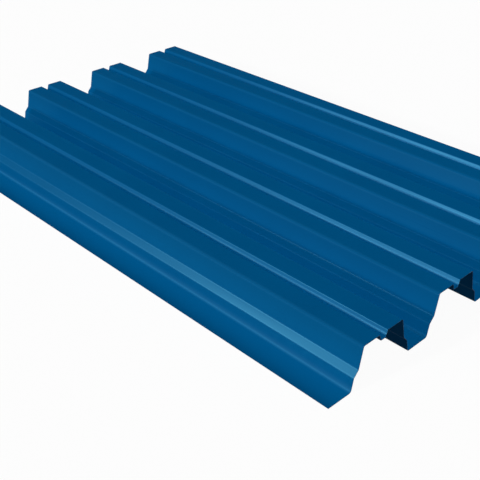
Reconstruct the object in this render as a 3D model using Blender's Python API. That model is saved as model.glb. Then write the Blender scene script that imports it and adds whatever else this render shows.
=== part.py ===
"""Trapezoidal profiled steel sheet for roofs and decking, rolled from one coated strip.

The sheet lies as it rests on a floor, on its five narrow flanges. X runs across the waves, Y along them and
Z up. The origin is in the middle of the plane that the sheet stands on. All sizes are in metres.
"""

import math

import bmesh
import bpy
from mathutils import Matrix, Vector

# Sheet
SHEET_LENGTH = 1.2
STEEL_THICKNESS = 0.0008
WAVE_COUNT = 4
WAVE_PITCH = 0.1875
PROFILE_HEIGHT = 0.075

# Flanges, between the corners of the bend line
UPPER_FLANGE_WIDTH = 0.092
LOWER_FLANGE_WIDTH = 0.050

# Sloping step that stiffens each web
STEP_FOOT_HEIGHT = 0.0245
STEP_RISE = 0.0105
STEP_RUN = 0.0095

# Groove that stiffens each upper flange
GROOVE_TOP_WIDTH = 0.0195
GROOVE_BOTTOM_WIDTH = 0.0115
GROOVE_DEPTH = 0.012

# Bends, by their inside radius
FLANGE_BEND_RADIUS = 0.003
STEP_BEND_RADIUS = 0.003
GROOVE_BEND_RADIUS = 0.0015
BEND_FACET_ANGLE = math.radians(16)
SHARPEST_SMOOTH_ANGLE = math.radians(30)
WIDEST_BEND_SHARE = 0.45

# Coating, on the front and on the cut ends alike
COATING_COLOUR = (0.0, 0.087, 0.242, 1.0)
COATING_ROUGHNESS = 0.35
COATING_METALLIC = 0.0


def clear_scene():
    """Removes everything that the scene starts with."""
    for thing in list(bpy.data.objects):
        bpy.data.objects.remove(thing, do_unlink=True)


def half_wave_corners():
    """Corners of the bend line from a crest's centre out to the lower flange, each with its bend's radius."""
    low = STEEL_THICKNESS / 2
    high = PROFILE_HEIGHT - STEEL_THICKNESS / 2
    crest_edge = UPPER_FLANGE_WIDTH / 2
    web_foot = (WAVE_PITCH - LOWER_FLANGE_WIDTH) / 2
    web_slope = (web_foot - crest_edge - STEP_RUN) / (high - low - STEP_RISE)
    step_foot = web_foot - web_slope * (STEP_FOOT_HEIGHT - low)
    return [
        (GROOVE_BOTTOM_WIDTH / 2, high - GROOVE_DEPTH, GROOVE_BEND_RADIUS),
        (GROOVE_TOP_WIDTH / 2, high, GROOVE_BEND_RADIUS),
        (crest_edge, high, FLANGE_BEND_RADIUS),
        (step_foot - STEP_RUN, STEP_FOOT_HEIGHT + STEP_RISE, STEP_BEND_RADIUS),
        (step_foot, STEP_FOOT_HEIGHT, STEP_BEND_RADIUS),
        (web_foot, low, FLANGE_BEND_RADIUS),
    ]


def section_corners():
    """Corners of the whole bend line from edge to edge. The two edges have no bend."""
    half_wave = half_wave_corners()
    edge = (WAVE_COUNT * WAVE_PITCH + LOWER_FLANGE_WIDTH) / 2
    low = STEEL_THICKNESS / 2
    corners = [(Vector((-edge, low)), 0.0)]
    for wave in range(WAVE_COUNT):
        centre = (wave - (WAVE_COUNT - 1) / 2) * WAVE_PITCH
        corners += [(Vector((centre - x, z)), radius) for x, z, radius in reversed(half_wave)]
        corners += [(Vector((centre + x, z)), radius) for x, z, radius in half_wave]
    corners.append((Vector((edge, low)), 0.0))
    return corners


def bend_arc(before, corner, after, inside_radius):
    """Points of the round bend at a corner of the bend line, no wider than the flats beside it allow."""
    back = before - corner
    on = after - corner
    turn = math.pi - back.angle(on)
    tangent = (inside_radius + STEEL_THICKNESS / 2) * math.tan(turn / 2)
    tangent = min(tangent, WIDEST_BEND_SHARE * min(back.length, on.length))
    radius = tangent / math.tan(turn / 2)
    centre = corner + (back.normalized() + on.normalized()).normalized() * math.hypot(radius, tangent)
    spoke = corner + back.normalized() * tangent - centre
    side = math.copysign(1.0, back.x * on.y - back.y * on.x)
    facets = math.ceil(turn / BEND_FACET_ANGLE)
    turns = [Matrix.Rotation(-side * turn * step / facets, 2) for step in range(facets + 1)]
    return [centre + rotation @ spoke for rotation in turns]


def bend_line():
    """Middle line of the steel across the sheet, with every corner rounded."""
    corners = section_corners()
    points = [corners[0][0]]
    for (before, _), (corner, radius), (after, _) in zip(corners, corners[1:], corners[2:]):
        points += bend_arc(before, corner, after, radius)
    points.append(corners[-1][0])
    return points


def coating_material():
    """Blue factory coating, half gloss."""
    material = bpy.data.materials.new("blue_coating")
    material.use_nodes = True
    shader = material.node_tree.nodes["Principled BSDF"]
    shader.inputs["Base Color"].default_value = COATING_COLOUR
    shader.inputs["Roughness"].default_value = COATING_ROUGHNESS
    shader.inputs["Metallic"].default_value = COATING_METALLIC
    return material


def profiled_sheet():
    """The rolled sheet: its bend line drawn out along Y and thickened to the steel's gauge."""
    rolled = bmesh.new()
    start = [rolled.verts.new((point.x, -SHEET_LENGTH / 2, point.y)) for point in bend_line()]
    edges = [rolled.edges.new(pair) for pair in zip(start, start[1:])]
    drawn = bmesh.ops.extrude_edge_only(rolled, edges=edges)["geom"]
    far_end = [item for item in drawn if isinstance(item, bmesh.types.BMVert)]
    bmesh.ops.translate(rolled, verts=far_end, vec=(0.0, SHEET_LENGTH, 0.0))
    mesh = bpy.data.meshes.new("profiled_sheet")
    rolled.to_mesh(mesh)
    rolled.free()
    mesh.shade_smooth()
    mesh.set_sharp_from_angle(angle=SHARPEST_SMOOTH_ANGLE)
    mesh.materials.append(coating_material())
    sheet = bpy.data.objects.new("profiled_sheet", mesh)
    bpy.context.scene.collection.objects.link(sheet)
    gauge = sheet.modifiers.new("gauge", "SOLIDIFY")
    gauge.thickness = STEEL_THICKNESS
    gauge.offset = 0.0
    gauge.use_even_offset = True
    gauge.use_quality_normals = True
    return sheet


clear_scene()
profiled_sheet()
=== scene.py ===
"""Looks of the profiled steel sheet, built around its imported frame. All lengths are in metres.

X runs across the waves, Y along them and Z up. The sheet lies on the floor on its narrow lower flanges.
"""

import math

import bmesh
import bpy
from mathutils import Matrix, Vector


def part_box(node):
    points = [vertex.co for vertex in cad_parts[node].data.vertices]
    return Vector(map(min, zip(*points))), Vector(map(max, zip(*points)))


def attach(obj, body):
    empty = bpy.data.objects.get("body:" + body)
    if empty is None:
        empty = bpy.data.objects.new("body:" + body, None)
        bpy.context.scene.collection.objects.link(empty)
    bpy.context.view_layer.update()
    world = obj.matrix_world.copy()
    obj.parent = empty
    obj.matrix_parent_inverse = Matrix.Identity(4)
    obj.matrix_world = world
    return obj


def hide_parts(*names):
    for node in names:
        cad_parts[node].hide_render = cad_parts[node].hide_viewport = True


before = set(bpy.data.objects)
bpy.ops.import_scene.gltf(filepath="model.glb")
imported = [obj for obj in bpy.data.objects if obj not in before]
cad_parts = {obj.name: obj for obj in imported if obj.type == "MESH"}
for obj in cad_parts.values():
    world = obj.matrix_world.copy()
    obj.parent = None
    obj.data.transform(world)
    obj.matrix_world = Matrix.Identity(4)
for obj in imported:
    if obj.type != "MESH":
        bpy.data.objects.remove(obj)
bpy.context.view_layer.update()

# Rolled sheet
# The real piece is one strip of galvanised steel, coated in the coil and rolled cold into four waves.
# Every bend is round. The flats between the bends are a little hollow, as light gauges leave the rolls.
SHEET_LOW, SHEET_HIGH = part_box("profiled_sheet")
STEEL_THICKNESS = 0.0008
WAVE_COUNT = 4
LOWER_FLANGE_WIDTH = 0.050
UPPER_FLANGE_WIDTH = 0.092
WAVE_PITCH = (SHEET_HIGH.x - SHEET_LOW.x - LOWER_FLANGE_WIDTH) / WAVE_COUNT
STEP_FOOT_HEIGHT = 0.0245
STEP_RISE = 0.0105
STEP_RUN = 0.0095
GROOVE_TOP_WIDTH = 0.0195
GROOVE_BOTTOM_WIDTH = 0.0115
GROOVE_DEPTH = 0.012
CREST_BEND_RADIUS = 0.003
FOOT_BEND_RADIUS = 0.0045
STEP_BEND_RADIUS = 0.003
GROOVE_LIP_RADIUS = 0.0012
GROOVE_FOOT_RADIUS = 0.0012
WIDEST_BEND_SHARE = 0.45
BEND_FACET_ANGLE = math.radians(9)
BEND_STRETCH = 0.25
# The grooves' flanks and the lap bends carry a painted highlight, fading towards the far end and growing to
# the right in the grooves.
LAP_BEND_HIGHLIGHT = 0.68
LAP_BEND_REACH = 0.013
LAP_BEND_REACH_OUT = 0.002
FLANK_HIGHLIGHT = 4.4
FLANK_HIGHLIGHT_DEPTH = 0.62
FLANK_HIGHLIGHT_SPAN = 0.18
UPPER_HIGHLIGHT_PER_METRE = 7.0
UPPER_HIGHLIGHT_START = -0.25
UPPER_HIGHLIGHT_DEPTH = 0.37
UPPER_HIGHLIGHT_SPAN = 0.30
UPPER_HIGHLIGHT_EDGE = 0.12
LAP_HIGHLIGHT_FADE_POWER = 1.3
GROOVE_HIGHLIGHT_FADE_POWER = 2.0
RUB_WIDTH = 0.012
# The painted shade at the top of each web: its reach from the crest's edge, and its rise to full depth.
SHADE_WIDTH = 0.028
SHADE_RISE = 0.006
FLAT_FACET_WIDTH = 0.010
FEWEST_FLAT_FACETS = 8
FLAT_BORDER = 0.0005
LENGTH_FACET = 0.025
FLAT_HOLLOW = 0.00016
HOLLOW_LENGTH = 0.37
HOLLOW_PHASE_STEP = 0.618
EDGE_CURL = 0.0008
LAP_SHADE_TURN = 2.7
SHARPEST_SMOOTH_ANGLE = math.radians(35)
BACK_COAT_INDEX = 1
CUT_EDGE_INDEX = 2


def half_wave_corners():
    """Corners of the bend line from a crest's centre out to the lower flange, each with its inside radius."""
    low = SHEET_LOW.z + STEEL_THICKNESS / 2
    high = SHEET_HIGH.z - STEEL_THICKNESS / 2
    crest_edge = UPPER_FLANGE_WIDTH / 2
    web_foot = (WAVE_PITCH - LOWER_FLANGE_WIDTH) / 2
    web_slope = (web_foot - crest_edge - STEP_RUN) / (high - low - STEP_RISE)
    step_foot = web_foot - web_slope * (STEP_FOOT_HEIGHT - low)
    return [
        (GROOVE_BOTTOM_WIDTH / 2, high - GROOVE_DEPTH, GROOVE_FOOT_RADIUS),
        (GROOVE_TOP_WIDTH / 2, high, GROOVE_LIP_RADIUS),
        (crest_edge, high, CREST_BEND_RADIUS),
        (step_foot - STEP_RUN, STEP_FOOT_HEIGHT + STEP_RISE, STEP_BEND_RADIUS),
        (step_foot, STEP_FOOT_HEIGHT, STEP_BEND_RADIUS),
        (web_foot, low, FOOT_BEND_RADIUS),
    ]


def section_corners():
    """Corners of the whole bend line from edge to edge."""
    half_wave = half_wave_corners()
    low = SHEET_LOW.z + STEEL_THICKNESS / 2
    corners = [(Vector((SHEET_LOW.x, low)), 0.0)]
    for wave in range(WAVE_COUNT):
        centre = (wave - (WAVE_COUNT - 1) / 2) * WAVE_PITCH
        corners += [(Vector((centre - x, z)), radius) for x, z, radius in reversed(half_wave)]
        corners += [(Vector((centre + x, z)), radius) for x, z, radius in half_wave]
    corners.append((Vector((SHEET_HIGH.x, low)), 0.0))
    return corners


def bend_arc(before, corner, after, inside_radius):
    """Points of the round bend at a corner of the bend line."""
    back = before - corner
    on = after - corner
    turn = math.pi - back.angle(on)
    tangent = (inside_radius + STEEL_THICKNESS / 2) * math.tan(turn / 2)
    tangent = min(tangent, WIDEST_BEND_SHARE * min(back.length, on.length))
    radius = tangent / math.tan(turn / 2)
    centre = corner + (back.normalized() + on.normalized()).normalized() * math.hypot(radius, tangent)
    spoke = corner + back.normalized() * tangent - centre
    side = math.copysign(1.0, back.x * on.y - back.y * on.x)
    facets = math.ceil(turn / BEND_FACET_ANGLE)
    turns = [Matrix.Rotation(-side * turn * step / facets, 2) for step in range(facets + 1)]
    return [centre + rotation @ spoke for rotation in turns]


def rolled_strip():
    """Stations across the strip: the point, one if on a bend, its share of hollow and its flat's number."""
    corners = section_corners()
    arcs = [bend_arc(a[0], b[0], c[0], b[1]) for a, b, c in zip(corners, corners[1:], corners[2:])]
    ends = [[corners[0][0]], *arcs, [corners[-1][0]]]
    stations = []
    for flat, (arc, next_arc) in enumerate(zip(ends, ends[1:])):
        bend = 1.0 if len(arc) > 2 else 0.0
        stations += [(point, bend, 0.0, flat) for point in arc]
        span = next_arc[0] - arc[-1]
        parts = max(FEWEST_FLAT_FACETS, round(span.length / FLAT_FACET_WIDTH))
        border = FLAT_BORDER / span.length
        for share in (border, *(part / parts for part in range(1, parts)), 1.0 - border):
            stations.append((arc[-1] + span * share, 0.0, math.sin(math.pi * share), flat))
    stations.append((ends[-1][0], 0.0, 0.0, len(ends)))
    return stations


def from_wave_centre(point):
    """How far a point of the section stands from the centre of its wave."""
    return abs((point.x - SHEET_LOW.x - LOWER_FLANGE_WIDTH / 2) % WAVE_PITCH - WAVE_PITCH / 2)


def in_groove(point):
    """Whether a point of the section is in the groove along the middle of a crest."""
    return from_wave_centre(point) < GROOVE_TOP_WIDTH / 2


def roll_worked(point, bend):
    """One where the rolls have worked the strip: on the bends, the steps and the grooves."""
    step = STEP_FOOT_HEIGHT < point.y < STEP_FOOT_HEIGHT + STEP_RISE
    return 1.0 if bend or step or in_groove(point) else 0.0


def lap_bend_wear_and_highlight(point):
    """How far the coat is rubbed beside the bends of the two laps, by which the sheet is carried and laid,
    and how strong the highlight painted there is.
    """
    out = abs(point.x) - (SHEET_HIGH.x - LOWER_FLANGE_WIDTH)
    up = point.y - SHEET_LOW.z
    away = math.hypot(out, up) / LAP_BEND_REACH if out < 0.0 else out / LAP_BEND_REACH_OUT
    return max(0.0, 1.0 - away)


def groove_painted_highlight(point, depth):
    """The highlight painted in a groove: in a line low on its flanks, and above it, stronger to the right."""
    line = max(0.0, 1.0 - abs(depth - FLANK_HIGHLIGHT_DEPTH) / FLANK_HIGHLIGHT_SPAN)
    upper = (UPPER_HIGHLIGHT_SPAN - abs(depth - UPPER_HIGHLIGHT_DEPTH)) / UPPER_HIGHLIGHT_EDGE
    rightward = max(0.0, point.x - UPPER_HIGHLIGHT_START)
    return max(FLANK_HIGHLIGHT * line, UPPER_HIGHLIGHT_PER_METRE * rightward * min(1.0, max(0.0, upper)))


def film_stretch_and_painted_highlight(point, bend, along):
    """Paler stretched film on the lower bends, and a highlight painted on the grooves' flanks and the lap
    bends, strongest at the leading end.
    """
    depth = (SHEET_HIGH.z - point.y) / GROOVE_DEPTH
    if in_groove(point):
        return groove_painted_highlight(point, depth) * (1.0 - along) ** GROOVE_HIGHLIGHT_FADE_POWER
    fade = (1.0 - along) ** LAP_HIGHLIGHT_FADE_POWER
    on_crest = depth < 1.0
    return max(0.0 if on_crest else BEND_STRETCH * bend, LAP_BEND_HIGHLIGHT * lap_bend_wear_and_highlight(point) * fade)


def crest_edge_wear_and_shade(point):
    """How far the coat is rubbed at a crest's edge, and how deep the shade painted on the web below it is."""
    beside = from_wave_centre(point) - UPPER_FLANGE_WIDTH / 2
    below = SHEET_HIGH.z - point.y
    away = math.hypot(beside, below)
    on_web = min(1.0, below / SHADE_RISE)
    return max(0.0, 1.0 - away / RUB_WIDTH), max(0.0, 1.0 - away / SHADE_WIDTH) * on_web


def sheet_mesh():
    """The strip's middle surface, with the strip's own coordinates as its UV map."""
    stations = rolled_strip()
    rows = round((SHEET_HIGH.y - SHEET_LOW.y) / LENGTH_FACET)
    lap_start = SHEET_HIGH.x - LOWER_FLANGE_WIDTH
    build = bmesh.new()
    pale_and_highlight_layer = build.verts.layers.float.new("stretch_and_painted_highlight")
    worked = build.verts.layers.float.new("roll_worked")
    lap_worn = build.verts.layers.float.new("lap_bend_wear_and_highlight")
    rubbed = build.verts.layers.float.new("crest_rub")
    shaded = build.verts.layers.float.new("web_shade")
    lap_light_and_shade = build.verts.layers.float.new("lap_painted_light_and_shade")
    strip = build.loops.layers.uv.new("strip")
    across = [0.0]
    for (point, *_), (following, *_) in zip(stations, stations[1:]):
        across.append(across[-1] + (following - point).length)
    grid = []
    for row in range(rows + 1):
        y = SHEET_LOW.y + (SHEET_HIGH.y - SHEET_LOW.y) * row / rows
        line = []
        for point, bend, hollow, flat in stations:
            wave = 0.5 + 0.5 * math.sin(math.tau * (y / HOLLOW_LENGTH + flat * HOLLOW_PHASE_STEP))
            free = max(0.0, (abs(point.x) - lap_start) / LOWER_FLANGE_WIDTH)
            lift = EDGE_CURL * free * free
            inward = math.copysign(FLAT_HOLLOW * hollow * wave, 0.5 * SHEET_HIGH.z - point.y)
            vertex = build.verts.new((point.x, y, point.y + inward + lift))
            vertex[pale_and_highlight_layer] = film_stretch_and_painted_highlight(point, bend, row / rows)
            vertex[worked] = roll_worked(point, bend)
            vertex[lap_worn] = lap_bend_wear_and_highlight(point)
            vertex[rubbed], vertex[shaded] = crest_edge_wear_and_shade(point)
            # Painted light and shade on the lap flanges: from -1, lighter by the bend, to 1, darker at the
            # free edge.
            vertex[lap_light_and_shade] = 2.0 * free ** LAP_SHADE_TURN - 1.0 if abs(point.x) > lap_start else 0.0
            line.append(vertex)
        grid.append(line)
    for row, (near, far) in enumerate(zip(grid, grid[1:])):
        for place, corners in enumerate(zip(near, near[1:], far[1:], far)):
            face = build.faces.new(corners)
            face.smooth = True
            spots = ((place, row), (place + 1, row), (place + 1, row + 1), (place, row + 1))
            for loop, (column, level) in zip(face.loops, spots):
                loop[strip].uv = (across[column], level * LENGTH_FACET)
    mesh = bpy.data.meshes.new("rolled_sheet")
    build.to_mesh(mesh)
    build.free()
    return mesh


def thickened(surface):
    """The middle surface brought to the steel's gauge, its back and cut edges in their own materials."""
    draft = bpy.data.objects.new("strip_surface", surface)
    bpy.context.scene.collection.objects.link(draft)
    gauge = draft.modifiers.new("gauge", "SOLIDIFY")
    gauge.thickness = STEEL_THICKNESS
    gauge.offset = 0.0
    gauge.use_even_offset = True
    gauge.use_quality_normals = True
    gauge.material_offset = BACK_COAT_INDEX
    gauge.material_offset_rim = CUT_EDGE_INDEX
    depsgraph = bpy.context.evaluated_depsgraph_get()
    solid = bpy.data.meshes.new_from_object(draft.evaluated_get(depsgraph))
    solid.name = "rolled_sheet"
    for vertex in solid.vertices:
        vertex.co.x = min(max(vertex.co.x, SHEET_LOW.x), SHEET_HIGH.x)
    solid.set_sharp_from_angle(angle=SHARPEST_SMOOTH_ANGLE)
    bpy.data.objects.remove(draft)
    return solid


# Front coat
# A blue polyester coat, rolled and baked on the flat coil: half gloss, with a faint orange peel.
# The rolls leave fine lengthwise streaks, dull what they work, and stretch the film paler on the lower bends.
# The grooves' flanks and the lap bends carry a painted highlight, the lap flanges painted light and shade,
# and the tops of the webs painted shade. The crests' edges are rubbed dull.
COAT_BLUE = (0.0, 0.0735, 0.200, 1.0)
COAT_BLUE_DEEP = (0.0, 0.0690, 0.190, 1.0)
# Painted shade for the tops of the webs.
COAT_BLUE_SHADED = (0.0, 0.0620, 0.172, 1.0)
# Painted light and shade for the lap flanges.
COAT_BLUE_LAP_PAINTED_LIGHT = (0.0, 0.0890, 0.238, 1.0)
COAT_BLUE_LAP_PAINTED_SHADE = (0.0, 0.0560, 0.154, 1.0)
# The paler stretched film, and the colour of the painted highlights.
COAT_BLUE_STRETCHED_AND_HIGHLIGHT = (0.0400, 0.2150, 0.400, 1.0)
COAT_ROUGHNESS = (0.27, 0.31)
WORKED_ROUGHNESS = 0.185
RUB_ROUGHNESS = 0.50
LAP_BEND_ROUGHNESS = 0.32
COAT_SPECULAR_TINT = (8.0, 65.0, 89.0, 1.0)
COAT_SPECULAR_LEVEL = 0.002
PATCH_SCALE = 7.0
PATCH_DETAIL = 3.0
PATCH_LIMITS = (0.35, 0.65)
PEEL_SCALE = 420.0
PEEL_DETAIL = 2.0
PEEL_HEIGHT = 0.000012
STREAK_SCALE = (900.0, 2.5, 1.0)
STREAK_DETAIL = 2.0
STREAK_ROUGHNESS = 0.6
STREAK_LIMITS = (0.3, 0.7)
STRETCH_AND_HIGHLIGHT_SHOWN = (0.1, 0.45)
RUB_LIMITS = (0.6, 0.75)


def add_node(tree, kind, inputs=None, **settings):
    """One node with its settings, its sockets filled with values or joined to other nodes' outputs."""
    node = tree.nodes.new(kind)
    for name, value in settings.items():
        setattr(node, name, value)
    for name, value in (inputs or {}).items():
        if isinstance(value, bpy.types.NodeSocket):
            tree.links.new(value, node.inputs[name])
        else:
            node.inputs[name].default_value = value
    return node


def strip_noise(tree, stretch, detail, roughness=0.5):
    """Noise laid out in the strip's own coordinates, so that it runs on evenly over the bends."""
    place = add_node(tree, "ShaderNodeUVMap", uv_map="strip")
    scaled = add_node(
        tree, "ShaderNodeVectorMath", {0: place.outputs["UV"], 1: stretch}, operation="MULTIPLY"
    )
    noise = add_node(
        tree,
        "ShaderNodeTexNoise",
        {"Vector": scaled.outputs["Vector"], "Scale": 1.0, "Detail": detail, "Roughness": roughness},
    )
    return noise.outputs["Fac"]


def remapped(tree, value, low, high, to_low, to_high):
    """The value taken from one range to another, and held there."""
    return add_node(
        tree,
        "ShaderNodeMapRange",
        {"Value": value, "From Min": low, "From Max": high, "To Min": to_low, "To Max": to_high},
    ).outputs["Result"]


def mixed_colour(tree, factor, first, second):
    """Two colours mixed by a factor."""
    node = add_node(tree, "ShaderNodeMix", data_type="RGBA")
    for socket, value in ((node.inputs[0], factor), (node.inputs[6], first), (node.inputs[7], second)):
        if isinstance(value, bpy.types.NodeSocket):
            tree.links.new(value, socket)
        else:
            socket.default_value = value
    return node.outputs[2]


def calculated(tree, operation, first, second):
    """The result of a sum on two numbers or outputs."""
    return add_node(tree, "ShaderNodeMath", {0: first, 1: second}, operation=operation).outputs["Value"]


def painted_on(tree, name):
    """One of the values that the mesh holds at its corners."""
    return add_node(tree, "ShaderNodeAttribute", attribute_name=name).outputs["Fac"]


def roll_orange_peel(tree, shader):
    """The faint unevenness of a film that is rolled on."""
    peel = strip_noise(tree, (PEEL_SCALE, PEEL_SCALE, 1.0), PEEL_DETAIL)
    bump = add_node(tree, "ShaderNodeBump", {"Height": peel, "Distance": PEEL_HEIGHT, "Strength": 1.0})
    tree.links.new(bump.outputs["Normal"], shader.inputs["Normal"])


def front_coat():
    material = bpy.data.materials.new("blue_front_coat")
    material.use_nodes = True
    tree = material.node_tree
    shader = tree.nodes["Principled BSDF"]
    patches = strip_noise(tree, (PATCH_SCALE, PATCH_SCALE, 1.0), PATCH_DETAIL)
    streaks = strip_noise(tree, STREAK_SCALE, STREAK_DETAIL, STREAK_ROUGHNESS)
    # Paler stretched film on the lower bends, and painted highlights on the grooves' flanks and the lap
    # bends.
    stretch = painted_on(tree, "stretch_and_painted_highlight")
    shown = calculated(tree, "MULTIPLY", stretch, remapped(tree, streaks, *STREAK_LIMITS, *STRETCH_AND_HIGHLIGHT_SHOWN))
    patched = remapped(tree, patches, *PATCH_LIMITS, 0.0, 1.0)
    shade = mixed_colour(tree, patched, COAT_BLUE, COAT_BLUE_DEEP)
    lap_light_and_shade = painted_on(tree, "lap_painted_light_and_shade")
    # The lap flanges are painted lighter by their bends and darker at their free edges: painted light and
    # shade.
    shade = mixed_colour(tree, remapped(tree, lap_light_and_shade, -1.0, 0.0, 1.0, 0.0), shade, COAT_BLUE_LAP_PAINTED_LIGHT)
    shade = mixed_colour(tree, remapped(tree, lap_light_and_shade, 0.0, 1.0, 0.0, 1.0), shade, COAT_BLUE_LAP_PAINTED_SHADE)
    # The top of each web is painted darker towards the crest's edge: painted shade.
    shade = mixed_colour(tree, painted_on(tree, "web_shade"), shade, COAT_BLUE_SHADED)
    colour = mixed_colour(tree, shown, shade, COAT_BLUE_STRETCHED_AND_HIGHLIGHT)
    tree.links.new(colour, shader.inputs["Base Color"])
    roughness = remapped(tree, streaks, *STREAK_LIMITS, *COAT_ROUGHNESS)
    for wear in (
        remapped(tree, painted_on(tree, "roll_worked"), 0.0, 1.0, 0.0, WORKED_ROUGHNESS),
        remapped(tree, painted_on(tree, "crest_rub"), *RUB_LIMITS, 0.0, RUB_ROUGHNESS),
        remapped(tree, painted_on(tree, "lap_bend_wear_and_highlight"), 0.0, 1.0, 0.0, LAP_BEND_ROUGHNESS),
    ):
        roughness = calculated(tree, "ADD", roughness, wear)
    tree.links.new(roughness, shader.inputs["Roughness"])
    roll_orange_peel(tree, shader)
    shader.inputs["Specular IOR Level"].default_value = COAT_SPECULAR_LEVEL
    shader.inputs["Specular Tint"].default_value = COAT_SPECULAR_TINT
    return material


# Back coat
# The underside has a thin protective coat, which is duller than the front. It is rolled and baked on the flat
# coil too. Its very dark blue is painted shade for the hollows under the waves.
# A very dark blue, as painted shade for the hollows under the waves.
BACK_PAINTED_SHADE_BLUE = (0.0, 0.0100, 0.0290, 1.0)
BACK_PAINTED_SHADE_BLUE_WORN = (0.0, 0.0135, 0.0360, 1.0)
BACK_PATCH_SCALE = 14.0
BACK_PATCH_DETAIL = 4.0
BACK_ROUGHNESS = (0.55, 0.68)
BACK_SPECULAR_LEVEL = 0.005


def back_coat():
    material = bpy.data.materials.new("back_coat_painted_shade")
    material.use_nodes = True
    tree = material.node_tree
    shader = tree.nodes["Principled BSDF"]
    patches = strip_noise(tree, (BACK_PATCH_SCALE, BACK_PATCH_SCALE, 1.0), BACK_PATCH_DETAIL)
    streaks = strip_noise(tree, STREAK_SCALE, STREAK_DETAIL, STREAK_ROUGHNESS)
    colour = mixed_colour(tree, remapped(tree, patches, *PATCH_LIMITS, 0.0, 1.0), BACK_PAINTED_SHADE_BLUE, BACK_PAINTED_SHADE_BLUE_WORN)
    tree.links.new(colour, shader.inputs["Base Color"])
    roughness = remapped(tree, streaks, *STREAK_LIMITS, *BACK_ROUGHNESS)
    tree.links.new(roughness, shader.inputs["Roughness"])
    roll_orange_peel(tree, shader)
    shader.inputs["Specular IOR Level"].default_value = BACK_SPECULAR_LEVEL
    return material


# Cut edges
# The sheet is sheared to length, and the coil slit to width, after coating. The blue coat is smeared over the
# cut, with specks of bare steel between.
EDGE_BLUE = (0.0, 0.0600, 0.160, 1.0)
EDGE_STEEL = (0.10, 0.13, 0.16, 1.0)
SPECK_SCALE = 1500.0
SPECK_DETAIL = 3.0
SPECK_LIMITS = (0.5, 0.65)
ROUGH_CUT_LIMITS = (0.3, 0.7)
EDGE_ROUGHNESS = (0.45, 0.65)
EDGE_SPECULAR_LEVEL = 0.1


def cut_edge():
    material = bpy.data.materials.new("cut_steel_edge")
    material.use_nodes = True
    tree = material.node_tree
    shader = tree.nodes["Principled BSDF"]
    place = add_node(tree, "ShaderNodeTexCoord").outputs["Object"]
    shear = add_node(
        tree, "ShaderNodeTexNoise", {"Vector": place, "Scale": SPECK_SCALE, "Detail": SPECK_DETAIL}
    ).outputs["Fac"]
    colour = mixed_colour(tree, remapped(tree, shear, *SPECK_LIMITS, 0.0, 1.0), EDGE_BLUE, EDGE_STEEL)
    tree.links.new(colour, shader.inputs["Base Color"])
    roughness = remapped(tree, shear, *ROUGH_CUT_LIMITS, *EDGE_ROUGHNESS)
    tree.links.new(roughness, shader.inputs["Roughness"])
    shader.inputs["Specular IOR Level"].default_value = EDGE_SPECULAR_LEVEL
    return material


# Coated sheet
# The strip with its front coat, back coat and cut edges is the whole piece. It has no fixings of its own,
# and it takes the solid sheet's place.
strip_surface = sheet_mesh()
strip_surface.materials.append(front_coat())
strip_surface.materials.append(back_coat())
strip_surface.materials.append(cut_edge())
rolled_sheet = bpy.data.objects.new("rolled_sheet", thickened(strip_surface))
bpy.context.scene.collection.objects.link(rolled_sheet)
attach(rolled_sheet, "root")
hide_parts("profiled_sheet")

# Floor
# A plain white studio floor. The camera and mirror-like surfaces see it mostly as a white glow, with the
# sheet's shadow still in it.
FLOOR_RADIUS = 8.0
FLOOR_SIDES = 96
FLOOR_GAP = 0.0003
PURE_WHITE = (1.0, 1.0, 1.0, 1.0)
FLOOR_WHITE = (0.9, 0.9, 0.9, 1.0)
FLOOR_GREY = (0.2, 0.2, 0.2, 1.0)
FLOOR_GLOW_SHARE = 0.85


def seen_share(tree):
    """One for camera, glossy and transmission rays, nought for the light that the surface throws back."""
    path = add_node(tree, "ShaderNodeLightPath")
    seen = calculated(tree, "MAXIMUM", path.outputs["Is Camera Ray"], path.outputs["Is Glossy Ray"])
    return calculated(tree, "MAXIMUM", seen, path.outputs["Is Transmission Ray"])


def floor_paint():
    material = bpy.data.materials.new("studio_floor")
    material.use_nodes = True
    tree = material.node_tree
    tree.nodes.remove(tree.nodes["Principled BSDF"])
    seen = seen_share(tree)
    paint = add_node(
        tree, "ShaderNodeBsdfDiffuse", {"Color": mixed_colour(tree, seen, FLOOR_GREY, FLOOR_WHITE)}
    )
    glow = add_node(tree, "ShaderNodeEmission", {"Color": PURE_WHITE, "Strength": 1.0})
    glow_share = calculated(tree, "MULTIPLY", seen, FLOOR_GLOW_SHARE)
    whitened = add_node(
        tree, "ShaderNodeMixShader", {0: glow_share, 1: paint.outputs["BSDF"], 2: glow.outputs["Emission"]}
    )
    tree.links.new(whitened.outputs["Shader"], tree.nodes["Material Output"].inputs["Surface"])
    return material


disc = bmesh.new()
bmesh.ops.create_circle(disc, cap_ends=True, segments=FLOOR_SIDES, radius=FLOOR_RADIUS)
bmesh.ops.translate(disc, verts=disc.verts, vec=(0.0, 0.0, SHEET_LOW.z - FLOOR_GAP))
floor_mesh = bpy.data.meshes.new("studio_floor")
disc.to_mesh(floor_mesh)
disc.free()
floor_mesh.materials.append(floor_paint())
studio_floor = bpy.data.objects.new("studio_floor", floor_mesh)
bpy.context.scene.collection.objects.link(studio_floor)

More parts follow.
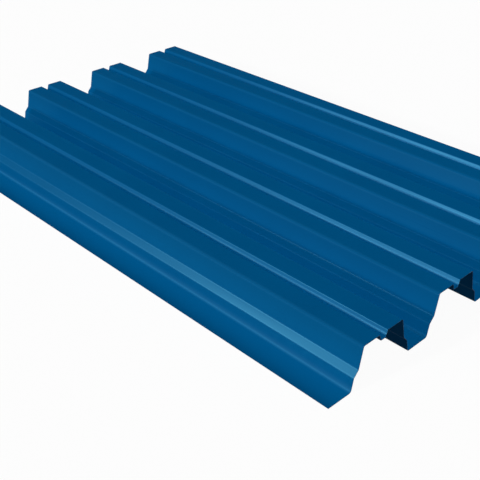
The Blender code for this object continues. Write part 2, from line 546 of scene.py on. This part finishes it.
# Studio light
# A soft low key light stands to the left of the sheet, and a small warm lamp on that side gives the coat its
# gloss. Even fills from the left, the right and above and a pale room lift the shades, as in a light tent.
ROOM_LEVEL = 0.025
BACKDROP_LEVEL = 1.0
BACKDROP_TOP = (0.12, 0.26)
LEFT_FILL_LEVEL = 0.745
LEFT_FILL_ELEVATION = math.radians(5)
RIGHT_FILL_LEVEL = 0.74
RIGHT_FILL_ELEVATION = math.radians(30)
TOP_FILL_LEVEL = 0.395
KEY_LEVEL = 0.295
KEY_DIRECTION = Vector((-0.85, 0.21, 0.344))
KEY_SPREAD = math.radians(4)
GLINT_LEVEL = 5.9
GLINT_COLOUR = (1.0, 0.5, 0.5)
GLINT_PLACE = Vector((-1.972, 0.546, 0.800))
GLINT_RADIUS = 0.12


def sun(name, towards, level, spread):
    """A far lamp that gives a face turned to it this level of light, where 1 shows a colour as written."""
    light = bpy.data.lights.new(name, "SUN")
    light.energy = math.pi * level
    light.angle = spread
    lamp = bpy.data.objects.new(name, light)
    lamp.rotation_mode = "QUATERNION"
    lamp.rotation_quaternion = towards.normalized().to_track_quat("Z", "Y")
    bpy.context.scene.collection.objects.link(lamp)
    return lamp


def fill(name, towards, level):
    """An even light with no shadow and no glint of its own."""
    lamp = sun(name, towards, level, 0.0)
    lamp.data.use_shadow = False
    lamp.visible_glossy = False


left = Vector((-math.cos(LEFT_FILL_ELEVATION), 0.0, math.sin(LEFT_FILL_ELEVATION)))
right = Vector((math.cos(RIGHT_FILL_ELEVATION), 0.0, math.sin(RIGHT_FILL_ELEVATION)))
fill("left_fill", left, LEFT_FILL_LEVEL)
fill("right_fill", right, RIGHT_FILL_LEVEL)
fill("top_fill", Vector((0.0, 0.0, 1.0)), TOP_FILL_LEVEL)

key = sun("key", KEY_DIRECTION, KEY_LEVEL, KEY_SPREAD)
key.visible_glossy = False
# The lamp's power is such that the level holds at the middle of the sheet.
glint_light = bpy.data.lights.new("glint", "POINT")
glint_light.energy = 4.0 * math.pi * GLINT_PLACE.length_squared * math.pi * GLINT_LEVEL
glint_light.shadow_soft_size = GLINT_RADIUS
glint_light.color = GLINT_COLOUR
glint = bpy.data.objects.new("glint", glint_light)
glint.location = GLINT_PLACE
glint.visible_diffuse = False
bpy.context.scene.collection.objects.link(glint)

room = bpy.data.worlds.new("pale_room")
bpy.context.scene.world = room
room.use_nodes = True
background = room.node_tree.nodes["Background"]
background.inputs["Color"].default_value = PURE_WHITE
direction = add_node(room.node_tree, "ShaderNodeTexCoord").outputs["Generated"]
height = add_node(room.node_tree, "ShaderNodeSeparateXYZ", {"Vector": direction}).outputs["Z"]
backdrop = remapped(room.node_tree, height, *BACKDROP_TOP, BACKDROP_LEVEL - ROOM_LEVEL, 0.0)
seen_backdrop = calculated(room.node_tree, "MULTIPLY", seen_share(room.node_tree), backdrop)
room_level = calculated(room.node_tree, "ADD", seen_backdrop, ROOM_LEVEL)
room.node_tree.links.new(room_level, background.inputs["Strength"])

# Camera
# It stands before the near left corner and looks down along the waves.
CAMERA_PLACE = Vector((-1.1124, -1.1675, 0.8426))
CAMERA_YAW = math.radians(43.582)
CAMERA_PITCH = math.radians(31.644)
CAMERA_ROLL = math.radians(-0.404)
FOCAL_PIXELS = 843.66
PICTURE_SIDE = 480
SENSOR_WIDTH = 36.0

look = Vector(
    (
        math.sin(CAMERA_YAW) * math.cos(CAMERA_PITCH),
        math.cos(CAMERA_YAW) * math.cos(CAMERA_PITCH),
        -math.sin(CAMERA_PITCH),
    )
)
level_right = Vector((math.cos(CAMERA_YAW), -math.sin(CAMERA_YAW), 0.0))
level_up = level_right.cross(look)
camera_right = level_right * math.cos(CAMERA_ROLL) + level_up * math.sin(CAMERA_ROLL)
camera_up = level_up * math.cos(CAMERA_ROLL) - level_right * math.sin(CAMERA_ROLL)
lens = bpy.data.cameras.new("camera")
lens.sensor_width = SENSOR_WIDTH
lens.lens = FOCAL_PIXELS / PICTURE_SIDE * SENSOR_WIDTH
camera = bpy.data.objects.new("camera", lens)
turned = Matrix((camera_right, camera_up, -look)).transposed().to_4x4()
camera.matrix_world = Matrix.Translation(CAMERA_PLACE) @ turned
bpy.context.scene.collection.objects.link(camera)
bpy.context.scene.camera = camera
bpy.context.scene.view_settings.view_transform = "Standard"
